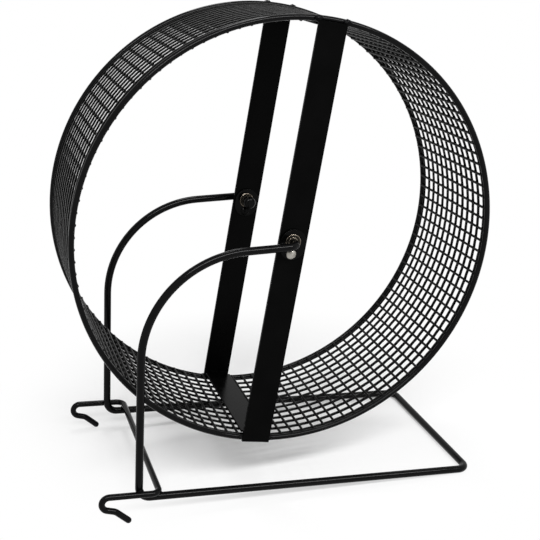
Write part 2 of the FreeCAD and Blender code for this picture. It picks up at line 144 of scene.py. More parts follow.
@dataclass(frozen=True)
class Finish:
    """A finish: what the surface is, its two tones and how rough it is.

    Grain, patch and depth are millimetres: the width of the surface's fine relief, the width of
    its cloudy changes of tone, and the height of the relief.
    """

    name: str
    slot: str
    tone: str
    shade: str
    roughness: float
    spread: float
    grain: float
    patch: float
    depth: float
    metallic: float = 0.0
    specular: float = 0.5

    def relief(self, tree: bpy.types.NodeTree, place: Socket) -> Socket:
        """Add the fine relief of the surface.

        Args:
            tree: the material's tree.
            place: the place on the piece.

        Returns:
            The height of the relief, from 0 to 1.
        """
        grain = add_node(tree, "ShaderNodeTexNoise",
                         {"Vector": place, "Scale": 1 / (self.grain * MM), "Detail": 2.0})
        return grain.outputs["Fac"]

    def material(self) -> bpy.types.Material:
        """Make this finish as a material, once.

        Returns:
            The material, or the one that was made before.
        """
        made = bpy.data.materials.get(self.name)
        if made:
            return made
        made = bpy.data.materials.new(self.name)
        made.use_nodes = True
        tree = made.node_tree
        shader = tree.nodes["Principled BSDF"]
        shader.inputs["Metallic"].default_value = self.metallic
        shader.inputs["Specular IOR Level"].default_value = self.specular
        place = add_node(tree, "ShaderNodeTexCoord").outputs["Object"]
        patch = add_node(tree, "ShaderNodeTexNoise",
                         {"Vector": place, "Scale": 1 / (self.patch * MM), "Detail": 3.0, "Roughness": 0.6})
        tones = add_node(tree, "ShaderNodeValToRGB", {"Fac": patch.outputs["Fac"]})
        for stop, position, tone in zip(tones.color_ramp.elements, TONE_SPAN, (self.shade, self.tone)):
            stop.position = position
            stop.color = linear(tone)
        tree.links.new(tones.outputs["Color"], shader.inputs["Base Color"])
        rough = add_node(tree, "ShaderNodeMapRange",
                         {"Value": patch.outputs["Fac"], "From Min": ROUGH_SPAN[0], "From Max": ROUGH_SPAN[1],
                          "To Min": self.roughness - self.spread, "To Max": self.roughness + self.spread})
        tree.links.new(rough.outputs["Result"], shader.inputs["Roughness"])
        bump = add_node(tree, "ShaderNodeBump", {"Height": self.relief(tree, place),
                                                 "Distance": self.depth * MM, "Strength": 1.0})
        tree.links.new(bump.outputs["Normal"], shader.inputs["Normal"])
        return made


@dataclass(frozen=True)
class TurnedFinish(Finish):
    """A turned or ground metal, with fine rings round the axle in place of a grain."""

    axle_height: float = 0.0

    def relief(self, tree: bpy.types.NodeTree, place: Socket) -> Socket:
        """Add rings round the axle, one grain width apart.

        Args:
            tree: the material's tree.
            place: the place on the piece.

        Returns:
            The height of the rings, from -1 to 1.
        """
        apart = add_node(tree, "ShaderNodeSeparateXYZ", {"Vector": place})
        rise = add_node(tree, "ShaderNodeMath", {0: apart.outputs["Z"], 1: self.axle_height},
                        operation="SUBTRACT")
        flat = add_node(tree, "ShaderNodeCombineXYZ", {"X": apart.outputs["X"], "Z": rise.outputs[0]})
        radius = add_node(tree, "ShaderNodeVectorMath", {0: flat.outputs[0]}, operation="LENGTH")
        turns = add_node(tree, "ShaderNodeMath",
                         {0: radius.outputs["Value"], 1: math.tau / (self.grain * MM)}, operation="MULTIPLY")
        wave = add_node(tree, "ShaderNodeMath", {0: turns.outputs[0]}, operation="SINE")
        return wave.outputs[0]


# Powder coat on drawn steel wire: black and half glossy, with the faint orange peel that powder
# leaves when it flows. The peel is about a millimetre wide.
COATED_WIRE = Finish("powder_coated_wire", "coated_wire", "#060607", "#030303", roughness=0.11,
                     spread=0.03, grain=1.3, patch=14.0, depth=0.006, specular=0.09)
# The same coat on the thin wires of the mesh, where it is too thin to flow out and stays matt.
COATED_MESH = Finish("powder_coated_mesh", "coated_wire", "#050505", "#030303", roughness=0.3,
                     spread=0.05, grain=0.8, patch=9.0, depth=0.02, specular=0.035)
# The same coat over a weld, where the bead below it stays lumpy and the powder lies thicker.
COATED_WELD = Finish("powder_coated_weld", "coated_wire", "#060607", "#030303", roughness=0.28,
                     spread=0.06, grain=0.9, patch=6.0, depth=0.1, specular=0.05)
# Stove enamel on rolled flat bar: deep black and smooth, with wide shallow flow marks.
STOVE_ENAMEL = Finish("stove_enamelled_bar", "enamelled_bar", "#040404", "#020202", roughness=0.24,
                      spread=0.05, grain=3.0, patch=28.0, depth=0.012, specular=0.03)
# The same enamel on the small bearing plates, where it lies thicker and glossier.
PLATE_ENAMEL = Finish("stove_enamelled_plate", "enamelled_bar", "#040404", "#020202", roughness=0.13,
                      spread=0.03, grain=1.6, patch=9.0, depth=0.01, specular=0.065)
# Bright zinc on pressed steel: pale grey with a soft cloud of darker passivation.
ZINC_PLATE = Finish("zinc_plated_steel", "zinc_steel", "#b0ada6", "#7d7a73", roughness=0.27,
                    spread=0.06, grain=0.5, patch=3.0, depth=0.01, metallic=1.0)
# The same zinc, made darker and duller, on the push-on washers.
DULL_ZINC = Finish("dulled_zinc_washer", "zinc_steel", "#4a4741", "#2c2a26", roughness=0.36,
                   spread=0.06, grain=0.5, patch=3.0, depth=0.01, metallic=1.0)
# Soft vinyl, dip moulded: black, with the smooth skin of a dip and a small glint.
DIPPED_VINYL = Finish("dipped_vinyl", "vinyl_cap", "#050505", "#030303", roughness=0.08,
                      spread=0.02, grain=0.7, patch=4.0, depth=0.006, specular=0.08)
# Pressed shield steel, blackened in oil: dark, with a satin sheen.
BLACKED_STEEL = Finish("blacked_shield_steel", "bearing_steel", "#26241f", "#161411", roughness=0.34,
                       spread=0.06, grain=0.4, patch=2.0, depth=0.006, metallic=0.8, specular=0.3)


def bearing_steel(axle_height: float) -> TurnedFinish:
    """Give ground bearing steel: bright, a little warm, with grinding rings 0.3 mm apart.

    Args:
        axle_height: height of the axle in metres.

    Returns:
        The finish.
    """
    return TurnedFinish("ground_bearing_steel", "bearing_steel", "#8f877b", "#5b5349", roughness=0.24,
                        spread=0.06, grain=0.3, patch=2.5, depth=0.006, metallic=1.0,
                        axle_height=axle_height)


def new_object(name: str, mesh: bpy.types.Mesh) -> bpy.types.Object:
    """Link a mesh into the scene as an object at the origin.

    Args:
        name: name of the object.
        mesh: its mesh.

    Returns:
        The object.
    """
    made = bpy.data.objects.new(name, mesh)
    bpy.context.scene.collection.objects.link(made)
    return made


def settle(piece: bpy.types.Object) -> bpy.types.Object:
    """Turn a piece and its modifiers into one plain mesh.

    Args:
        piece: an object with modifiers.

    Returns:
        The same object, with the result as its mesh and no modifier left.
    """
    depsgraph = bpy.context.evaluated_depsgraph_get()
    mesh = bpy.data.meshes.new_from_object(piece.evaluated_get(depsgraph), preserve_all_data_layers=True,
                                           depsgraph=depsgraph)
    piece.modifiers.clear()
    piece.data = mesh
    mesh.name = piece.name
    return piece


def publish(piece: bpy.types.Object, body: Body, finish: Finish, *nodes: str) -> bpy.types.Object:
    """Attach a finished piece to its body and hide the CAD nodes that it replaces.

    Args:
        piece: the finished object.
        body: the body that it rides on.
        finish: not used.
        nodes: CAD nodes that it replaces.

    Returns:
        The piece.
    """
    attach(piece, body.value)
    if nodes:
        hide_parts(*nodes)
    LOG.info("%s: %d faces on %s", piece.name, len(piece.data.polygons), body.value)
    return piece


class Rule:
    """A Geometry Nodes tree with named inputs, turned to a plain mesh once it is set."""

    def __init__(self, name: str) -> None:
        """Start an empty tree with a way in and a way out.

        Args:
            name: name of the tree.
        """
        self.tree = bpy.data.node_groups.new(name, "GeometryNodeTree")
        self.tree.interface.new_socket("Geometry", in_out="INPUT", socket_type="NodeSocketGeometry")
        self.tree.interface.new_socket("Geometry", in_out="OUTPUT", socket_type="NodeSocketGeometry")
        self.inlet = self.add("NodeGroupInput")
        self.outlet = self.add("NodeGroupOutput")
        self.values: dict[str, Any] = {}

    def add(self, kind: str, inputs: dict[Any, Any] | None = None, **settings: Any) -> bpy.types.Node:
        """Add a node to this tree, as add_node does."""
        return add_node(self.tree, kind, inputs, **settings)

    def size(self, name: str, value: float) -> Socket:
        """Add a named length or angle and return its socket."""
        return self._input(name, value, "NodeSocketFloat")

    def number(self, name: str, value: int) -> Socket:
        """Add a named count and return its socket."""
        return self._input(name, value, "NodeSocketInt")

    def _input(self, name: str, value: Any, kind: str) -> Socket:
        """Add a named input and keep its value by identifier.

        Args:
            name: name of the input.
            value: its value.
            kind: Blender's name of the socket type.

        Returns:
            The socket that gives the value.
        """
        item = self.tree.interface.new_socket(name, in_out="INPUT", socket_type=kind)
        self.values[item.identifier] = value
        return self.inlet.outputs[name]

    def maths(self, operation: str, first: Any, second: Any = 0.0) -> Socket:
        """Return the result of one sum."""
        return self.add("ShaderNodeMath", {0: first, 1: second}, operation=operation).outputs[0]

    def round_the_axle(self, angle: Any, radius: Any, along: Any, height: Any) -> Socket:
        """Place a point round the axle.

        Args:
            angle: angle from the top.
            radius: way out from the axle.
            along: way along the axle.
            height: height of the axle.

        Returns:
            The point.
        """
        side = self.maths("MULTIPLY", radius, self.maths("SINE", angle))
        rise = self.maths("MULTIPLY", radius, self.maths("COSINE", angle))
        return self.add("ShaderNodeCombineXYZ", {"X": side, "Y": along,
                                                 "Z": self.maths("ADD", rise, height)}).outputs[0]

    def turned_by(self, angle: Any) -> Socket:
        """Return the turn about Y that points a piece's Z outwards at an angle."""
        euler = self.add("ShaderNodeCombineXYZ", {"Y": angle}).outputs[0]
        return self.add("FunctionNodeEulerToRotation", {"Euler": euler}).outputs[0]

    def tube(self, path: Socket, radius: Any, sides: Any) -> Socket:
        """Run a round wire along a path.

        Args:
            path: the path as a curve.
            radius: radius of the wire.
            sides: faces round the wire.

        Returns:
            The wire, closed at its ends.
        """
        ring = self.add("GeometryNodeCurvePrimitiveCircle", {"Resolution": sides, "Radius": radius},
                        mode="RADIUS")
        wire = self.add("GeometryNodeCurveToMesh", {"Curve": path, "Profile Curve": ring.outputs["Curve"],
                                                    "Fill Caps": True})
        return wire.outputs["Mesh"]

    def scatter(self, count: Any, spot: Any, shape: Any, angle: Any,
                scale: Any = (1.0, 1.0, 1.0)) -> Socket:
        """Put a shape at each of a count of spots.

        Args:
            count: how many there are.
            spot: the place of each.
            shape: the shape.
            angle: angle from the top at which the Z of each points outwards.
            scale: the three scales of each.

        Returns:
            The shapes as instances.
        """
        points = self.add("GeometryNodeMeshLine", {"Count": count}).outputs["Mesh"]
        placed = self.add("GeometryNodeSetPosition", {"Geometry": points, "Position": spot}).outputs[0]
        return self.add("GeometryNodeInstanceOnPoints",
                        {"Points": placed, "Instance": shape, "Rotation": self.turned_by(angle),
                         "Scale": scale}).outputs[0]

    def joined(self, *parts: Socket) -> Socket:
        """Join several geometries.

        Args:
            parts: the geometries.

        Returns:
            All of them as one.
        """
        join = self.add("GeometryNodeJoinGeometry")
        for part in parts:
            self.tree.links.new(part, join.inputs[0])
        return join.outputs[0]

    def make(self, name: str, result: Socket, finish: Finish,
             base: bpy.types.Mesh | None = None) -> bpy.types.Object:
        """End the tree, run it and turn it into a plain mesh.

        Args:
            name: name of the piece.
            result: the geometry that the tree gives.
            finish: the finish that it gets.
            base: the mesh that the tree starts from, if it reads one.

        Returns:
            The piece, smooth shaded, with no modifier.
        """
        real = self.add("GeometryNodeRealizeInstances", {"Geometry": result}).outputs[0]
        dressed = self.add("GeometryNodeSetMaterial",
                           {"Geometry": real, "Material": finish.material()}).outputs[0]
        self.tree.links.new(dressed, self.outlet.inputs[0])
        piece = new_object(name, base or bpy.data.meshes.new(name))
        modifier = piece.modifiers.new(self.tree.name, "NODES")
        modifier.node_group = self.tree
        for identifier, value in self.values.items():
            modifier[identifier] = value
        settle(piece)
        piece.data.shade_smooth()
        piece.data.set_sharp_from_angle(angle=WIRE_CREASE)
        return piece


def cad_copy(name: str, node: str, finish: Finish, edge: float) -> bpy.types.Object:
    """Copy a CAD node, merge its triangles and break its edges as a real piece has them.

    Args:
        name: name of the piece.
        node: the CAD node.
        finish: the finish that it gets.
        edge: width of the broken edges in millimetres.

    Returns:
        The piece, with no modifier.
    """
    mesh = FRAME_NODES[node].data.copy()
    work = bmesh.new()
    work.from_mesh(mesh)
    bmesh.ops.remove_doubles(work, verts=work.verts, dist=SAME_POINT)
    bmesh.ops.dissolve_limit(work, angle_limit=FLAT_TURN, verts=work.verts, edges=work.edges)
    work.to_mesh(mesh)
    work.free()
    mesh.materials.clear()
    mesh.materials.append(finish.material())
    piece = new_object(name, mesh)
    mesh.shade_smooth()
    bevel = piece.modifiers.new("broken edge", "BEVEL")
    bevel.limit_method = "ANGLE"
    bevel.angle_limit = CUT_CREASE
    bevel.width = edge * MM
    bevel.segments = EDGE_STEPS
    weighted = piece.modifiers.new("flat faces", "WEIGHTED_NORMAL")
    weighted.weight = FLAT_LEAD
    return settle(piece)


def lathe(name: str, profile: list[tuple[float, float]], start: float, way: float, axle_height: float,
          finish: Finish, steps: int = 48) -> bpy.types.Object:
    """Turn a closed profile round the axle.

    Args:
        name: name of the piece.
        profile: radius and way along the axle of each point, in millimetres, in order round it.
        start: place on the axle of the profile's zero, in metres.
        way: 1 to run along Y, -1 to run against it.
        axle_height: height of the axle in metres.
        finish: the finish that it gets.
        steps: faces round the axle.

    Returns:
        The piece.
    """
    work = bmesh.new()
    rings = []
    for step in range(steps):
        angle = math.tau * step / steps
        rings.append([work.verts.new((radius * MM * math.sin(angle), start + way * along * MM,
                                      axle_height + radius * MM * math.cos(angle)))
                      for radius, along in profile])
    for step, ring in enumerate(rings):
        after = rings[(step + 1) % steps]
        for place in range(len(profile)):
            beside = (place + 1) % len(profile)
            work.faces.new((ring[place], ring[beside], after[beside], after[place]))
    bmesh.ops.remove_doubles(work, verts=work.verts, dist=SAME_POINT)
    bmesh.ops.recalc_face_normals(work, faces=work.faces)
    mesh = bpy.data.meshes.new(name)
    work.to_mesh(mesh)
    work.free()
    mesh.materials.append(finish.material())
    mesh.shade_smooth()
    mesh.set_sharp_from_angle(angle=CUT_CREASE)
    return new_object(name, mesh)


@dataclass(frozen=True)
class Bead:
    """A weld bead: its centre in metres, the way it runs, and its half length and radius in millimetres.

    Ripple and lump are the heights of a slow pool's ripples and of its lumps, as shares of the radius.
    Variety makes the lumps of each bead its own, by its place.
    """

    centre: Vector
    run: Vector
    half_length: float
    radius: float
    ripple: float = 0.07
    ripples: float = 9.0
    lump: float = 0.1
    lumps: float = 1.7
    variety: float = 90.0

    def shaped(self, spot: Vector) -> Vector:
        """Press a ball into the bead.

        Args:
            spot: a point of a ball of radius one.

        Returns:
            Where it lies on the bead, in metres.
        """
        wave = self.ripple * math.sin(self.ripples * spot.x)
        lumpy = self.lump * noise.noise(spot * self.lumps + self.centre * self.variety)
        radius = self.radius * (1 + wave + lumpy)
        turn = self.run.to_track_quat("X", "Z").to_matrix()
        return self.centre + turn @ Vector((spot.x * self.half_length, spot.y * radius, spot.z * radius)) * MM


def weld_beads(name: str, beads: list[Bead]) -> bpy.types.Object:
    """Make lumpy weld beads.

    Args:
        name: name of the piece.
        beads: the beads.

    Returns:
        All beads as one piece.
    """
    work = bmesh.new()
    for bead in beads:
        ball = bmesh.ops.create_uvsphere(work, u_segments=20, v_segments=14, radius=1.0)
        for vert in ball["verts"]:
            vert.co = bead.shaped(vert.co.copy())
    mesh = bpy.data.meshes.new(name)
    work.to_mesh(mesh)
    work.free()
    mesh.materials.append(COATED_WELD.material())
    mesh.shade_smooth()
    return new_object(name, mesh)


@dataclass(frozen=True)
class Nugget:
    """A small weld nugget: its radius in millimetres, and how much its three widths vary."""

    radius: float
    rings: int
    least: tuple[float, float, float]
    most: tuple[float, float, float]
    seed: int


@dataclass
class Tread:
    """The running surface: two rims with a welded wire mesh between them."""

    axle_height: float
    rim_diameter: float = 300.0
    rim_wire: float = 4.0
    rim_spacing: float = 108.0
    rim_steps: int = 288
    rim_sides: int = 16
    cross_wire: float = 1.8
    cross_sides: int = 10
    cross_count: int = 112
    cross_proud: float = 0.6
    hoop_width: float = 2.8
    hoop_thickness: float = 1.1
    hoop_edge: float = 0.44
    hoop_steps_between_wires: int = 4
    hoop_count: int = 13
    hoop_pitch: float = 8.25
    gap: float = 0.05
    dip: float = 0.15
    crossing_nugget: Nugget = Nugget(1.25, 5, (0.85, 0.85, 0.5), (1.15, 1.15, 0.75), seed=7)
    end_nugget: Nugget = Nugget(1.2, 6, (0.9, 1.0, 0.75), (1.2, 1.4, 1.0), seed=11)
    end_nugget_lift: float = 0.1
    turn: float = 9.0

    @property
    def seat(self) -> float:
        """Radius that the cross wires reach and the hoops lie on."""
        return self.rim_diameter / 2 - self.rim_wire - self.cross_proud + self.cross_wire

    @property
    def wire_end(self) -> float:
        """Half the length of a cross wire, from the middle of the tread to the side of a rim."""
        below = (self.rim_diameter - self.rim_wire) / 2 - self.seat
        return self.rim_spacing / 2 - math.sqrt((self.rim_wire / 2 + self.gap) ** 2 - below ** 2)

    def build(self) -> None:
        """Make the rims, both sets of wires and the nuggets where they cross."""
        for side in Side:
            self.build_rim(side)
        self.build_cross_wires()
        self.build_hoops()
        self.build_crossing_nuggets()
        self.build_end_nuggets()

    def wire_angle(self, rule: Rule, index: Any) -> Socket:
        """Find the angle of a cross wire.

        Args:
            rule: the tree that asks.
            index: the wire's number, with a part for a place between two wires.

        Returns:
            The angle from the top.
        """
        step = rule.size("Wire step", math.tau / self.cross_count)
        start = rule.size("First wire", math.radians(self.turn) + math.pi / self.cross_count)
        return rule.maths("ADD", rule.maths("MULTIPLY", index, step), start)

    def build_rim(self, side: Side) -> None:
        """Make one rim as a round wire ring.

        Args:
            side: the side of the wheel.
        """
        rule = Rule(f"{side.value} rim wire")
        circle = rule.add("GeometryNodeCurvePrimitiveCircle",
                          {"Resolution": rule.number("Steps", self.rim_steps),
                           "Radius": rule.size("Rim radius", (self.rim_diameter - self.rim_wire) / 2 * MM)},
                          mode="RADIUS").outputs["Curve"]
        place = rule.add("ShaderNodeCombineXYZ",
                         {"Y": rule.size("Side", -side.inward * self.rim_spacing / 2 * MM),
                          "Z": rule.size("Axle height", self.axle_height)}).outputs[0]
        stood = rule.add("GeometryNodeTransform", {"Geometry": circle, "Translation": place,
                                                   "Rotation": (math.pi / 2, 0.0, 0.0)}).outputs[0]
        radius = rule.size("Wire radius", self.rim_wire / 2 * MM)
        wire = rule.tube(stood, radius, rule.number("Sides", self.rim_sides))
        rim = rule.make(f"{side.value}_rim_wire", wire, COATED_WIRE)
        publish(rim, Body.WHEEL, COATED_WIRE, f"{side.value}_rim")

    def build_cross_wires(self) -> None:
        """Make the straight wires from rim to rim."""
        rule = Rule("cross wires")
        half = self.wire_end * MM
        radius = rule.size("Wire radius", self.cross_wire / 2 * MM)
        line = rule.add("GeometryNodeCurvePrimitiveLine",
                        {"Start": (0.0, -half, 0.0), "End": (0.0, half, 0.0)})
        wire = rule.tube(line.outputs["Curve"], radius, rule.number("Sides", self.cross_sides))
        angle = self.wire_angle(rule, rule.add("GeometryNodeInputIndex").outputs[0])
        circle = rule.size("Wire circle", (self.seat - self.cross_wire / 2) * MM)
        spot = rule.round_the_axle(angle, circle, 0.0, rule.size("Axle height", self.axle_height))
        wires = rule.scatter(rule.number("Wires", self.cross_count), spot, wire, angle)
        publish(rule.make("tread_cross_wires", wires, COATED_MESH), Body.WHEEL, COATED_MESH, "cross_wires")

    def build_hoops(self) -> None:
        """Make the flat hoops, drawn in a little between the wires that they are welded to."""
        rule = Rule("flat hoops")
        steps = rule.number("Steps", self.cross_count * self.hoop_steps_between_wires)
        circle = rule.add("GeometryNodeCurvePrimitiveCircle", {"Resolution": steps},
                          mode="RADIUS").outputs["Curve"]
        part = rule.maths("DIVIDE", rule.add("GeometryNodeInputIndex").outputs[0], steps)
        wire = rule.maths("MULTIPLY", part, rule.size("Wires", float(self.cross_count)))
        angle = self.wire_angle(rule, wire)
        waves = rule.size("Waves", math.tau * self.cross_count)
        wave = rule.maths("COSINE", rule.maths("MULTIPLY", part, waves))
        half_dip = rule.size("Half dip", self.dip / 2 * MM)
        sunk = rule.maths("MULTIPLY", rule.maths("SUBTRACT", 1.0, wave), half_dip)
        full = rule.size("Hoop radius", (self.seat + self.gap + self.hoop_thickness / 2) * MM)
        radius = rule.maths("SUBTRACT", full, sunk)
        flat = rule.add("ShaderNodeCombineXYZ",
                        {"X": rule.maths("MULTIPLY", radius, rule.maths("SINE", angle)),
                         "Y": rule.maths("MULTIPLY", radius, rule.maths("COSINE", angle))}).outputs[0]
        bent = rule.add("GeometryNodeSetPosition", {"Geometry": circle, "Position": flat}).outputs[0]
        level = rule.add("GeometryNodeSetCurveNormal", {"Curve": bent}, mode="Z_UP").outputs["Curve"]
        section = rule.add("GeometryNodeCurvePrimitiveQuadrilateral",
                           {"Width": rule.size("Hoop thickness", self.hoop_thickness * MM),
                            "Height": rule.size("Hoop width", self.hoop_width * MM)},
                           mode="RECTANGLE").outputs["Curve"]
        rounded = rule.add("GeometryNodeFilletCurve",
                           {"Curve": section, "Count": 2,
                            "Radius": rule.size("Hoop edge", self.hoop_edge * MM)},
                           mode="POLY").outputs["Curve"]
        band = rule.add("GeometryNodeCurveToMesh", {"Curve": level, "Profile Curve": rounded}).outputs["Mesh"]
        place = rule.add("ShaderNodeCombineXYZ", {"Z": rule.size("Axle height", self.axle_height)}).outputs[0]
        hoop = rule.add("GeometryNodeTransform", {"Geometry": band, "Translation": place,
                                                  "Rotation": (math.pi / 2, 0.0, 0.0)}).outputs[0]
        first = -(self.hoop_count - 1) / 2 * self.hoop_pitch * MM
        line = rule.add("GeometryNodeMeshLine", {"Count": rule.number("Hoops", self.hoop_count),
                                                 "Start Location": (0.0, first, 0.0),
                                                 "Offset": (0.0, self.hoop_pitch * MM, 0.0)}).outputs["Mesh"]
        hoops = rule.add("GeometryNodeInstanceOnPoints", {"Points": line, "Instance": hoop}).outputs[0]
        nodes = [f"hoop_{number:02d}" for number in range(1, self.hoop_count + 1)]
        publish(rule.make("tread_hoops", hoops, COATED_MESH), Body.WHEEL, COATED_MESH, *nodes)

    def build_crossing_nuggets(self) -> None:
        """Make the small weld nugget, filled with coat, at every crossing of the mesh."""
        rule = Rule("crossing nuggets")
        row, angle = self.row_and_angle(rule)
        middle = rule.maths("SUBTRACT", row, rule.size("Half the hoops", (self.hoop_count - 1) / 2))
        along = rule.maths("MULTIPLY", middle, rule.size("Hoop pitch", self.hoop_pitch * MM))
        spot = rule.round_the_axle(angle, rule.size("Seat", self.seat * MM), along,
                                   rule.size("Axle height", self.axle_height))
        nuggets = self.nuggets(rule, self.hoop_count, spot, angle, self.crossing_nugget)
        publish(rule.make("tread_crossing_nuggets", nuggets, COATED_MESH), Body.WHEEL, COATED_MESH)

    def build_end_nuggets(self) -> None:
        """Make the weld nugget where each end of a cross wire meets a rim."""
        rule = Rule("end nuggets")
        row, angle = self.row_and_angle(rule)
        reach = rule.size("Weld place", (self.wire_end + self.end_nugget.radius / 2) * MM)
        along = rule.maths("MULTIPLY", rule.maths("SUBTRACT", rule.maths("MULTIPLY", row, 2.0), 1.0), reach)
        radius = rule.size("Weld circle", (self.seat - self.cross_wire / 2 + self.end_nugget_lift) * MM)
        spot = rule.round_the_axle(angle, radius, along, rule.size("Axle height", self.axle_height))
        nuggets = self.nuggets(rule, len(Side), spot, angle, self.end_nugget)
        publish(rule.make("tread_end_nuggets", nuggets, COATED_WELD), Body.WHEEL, COATED_WELD)

    def row_and_angle(self, rule: Rule) -> tuple[Socket, Socket]:
        """Find where each point of a set lies, counted row by row with one point on each wire.

        Args:
            rule: the tree that asks.

        Returns:
            The number of its row along the axle, and the angle of its wire from the top.
        """
        wires = rule.number("Wires", self.cross_count)
        index = rule.add("GeometryNodeInputIndex").outputs[0]
        row = rule.maths("FLOOR", rule.maths("DIVIDE", rule.maths("ADD", index, 0.5), wires))
        wire = rule.maths("SUBTRACT", index, rule.maths("MULTIPLY", row, wires))
        return row, self.wire_angle(rule, wire)

    def nuggets(self, rule: Rule, rows: int, spot: Socket, angle: Socket,
                nugget: Nugget) -> Socket:
        """Return a nugget on each wire in each row.

        Args:
            rule: the tree that they go into.
            rows: rows along the axle.
            spot: the place of each nugget.
            angle: the angle of each nugget from the top.
            nugget: the nugget's sizes.

        Returns:
            The nuggets, each a little different.
        """
        lump = rule.add("GeometryNodeMeshUVSphere",
                        {"Segments": 8, "Rings": nugget.rings,
                         "Radius": rule.size("Nugget", nugget.radius * MM)}).outputs["Mesh"]
        vary = rule.add("FunctionNodeRandomValue",
                        {"Min": nugget.least, "Max": nugget.most, "Seed": nugget.seed},
                        data_type="FLOAT_VECTOR").outputs["Value"]
        return rule.scatter(rule.number("Nuggets", rows * self.cross_count), spot, lump, angle, vary)


@dataclass
class Spokes:
    """The flat bars across the open sides, the straps between them and their welds on the rims."""

    axle_height: float
    tread: Tread
    bar_width: float = 20.0
    bar_edge: float = 0.35
    bead_length: float = 3.0
    top_bead: float = 2.2
    front_bead_proud: float = 0.3
    rear_bead_proud: float = 0.9
    bottom_bead: float = 1.54
    bottom_bead_inset: float = 2.4

    def build(self) -> None:
        """Make the bars, the straps and the beads at the bars' ends."""
        for side in Side:
            self.build_flat(f"{side.value}_spoke_bar")
            self.build_beads(side)
        self.build_flat("top_strap")
        self.build_flat("bottom_strap")

    def build_flat(self, node: str) -> None:
        """Dress a bar or a strap, with its edges broken."""
        flat = cad_copy(f"{node}_enamelled", node, STOVE_ENAMEL, self.bar_edge)
        publish(flat, Body.WHEEL, STOVE_ENAMEL, node)

    def build_beads(self, side: Side) -> None:
        """Make the weld beads at the corners of a bar, proud of the rim at the top and inside it below.

        Args:
            side: the side of the wheel.
        """
        outside = self.tread.rim_diameter / 2
        along = -side.inward * (self.tread.rim_spacing + self.tread.rim_wire) / 2 * MM
        turn = math.radians(self.tread.turn)
        proud = self.rear_bead_proud if side is Side.REAR else self.front_bead_proud
        top = (turn, outside + proud - self.top_bead, self.top_bead)
        bottom = (turn + math.pi, outside - self.bottom_bead_inset, self.bottom_bead)
        beads = []
        for end, radius, thick in (top, bottom):
            for edge in (-1, 1):
                angle = end + edge * math.asin(self.bar_width / 2 / radius)
                out = Vector((math.sin(angle), 0, math.cos(angle)))
                centre = out * radius * MM + Vector((0, along, self.axle_height))
                beads.append(Bead(centre, out.cross(Vector((0, 1, 0))), self.bead_length, thick))
        publish(weld_beads(f"{side.value}_rim_weld_beads", beads), Body.WHEEL, COATED_WELD,
                f"{side.value}_rim_welds")


